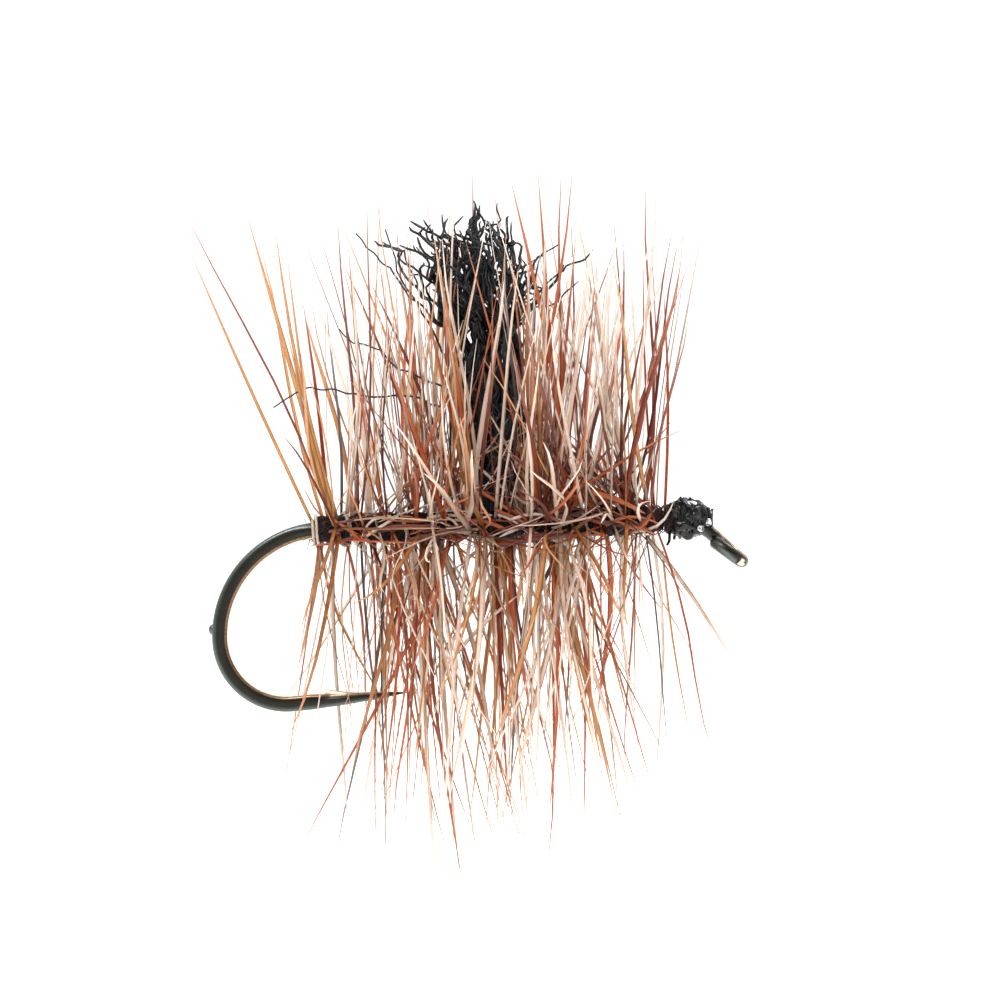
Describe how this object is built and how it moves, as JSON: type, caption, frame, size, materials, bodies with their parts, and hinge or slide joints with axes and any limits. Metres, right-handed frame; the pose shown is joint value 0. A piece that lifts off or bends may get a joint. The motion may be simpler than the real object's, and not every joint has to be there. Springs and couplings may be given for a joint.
{
  "type": "dry fly",
  "caption": "Palmered dry fly for fly fishing: forged down-eye hook dressed with a dubbed body, mixed brown and grizzly hackle along it, and an upright dark yarn wing.",
  "frame": {"origin": "centre of the hook's eye", "axes": "+X along the shank towards the eye, +Y square to the hook's plane, +Z on the side where the wing stands"},
  "size_m": [0.0164, 0.0202, 0.0204],
  "materials": {
    "hook_wire": "bronzed, semi-gloss",
    "tying_thread": "waxed thread",
    "dubbing": "rough fur",
    "wing_yarn": "crinkled synthetic fibre",
    "brown_hackle": "glossy feather barbs",
    "grizzly_hackle": "barred feather barbs",
    "head_varnish": "clear gloss varnish over black thread"
  },
  "bodies": {
    "root": {"hook": "hook_wire", "thread_underbody": "tying_thread", "rear_tie_in": "tying_thread", "body_tail": "dubbing", "body_rear": "dubbing", "body_front": "dubbing", "wing_wraps_rear": "tying_thread", "wing_wraps_front": "tying_thread", "wing_yarn": "wing_yarn", "hackle_brown": "brown_hackle", "hackle_grizzly": "grizzly_hackle", "hackle_tie_down": "tying_thread", "head_wraps": "tying_thread", "whip_finish": "tying_thread", "head_varnish": "head_varnish", "thread_tag": "tying_thread"}
  },
  "joints": []
}
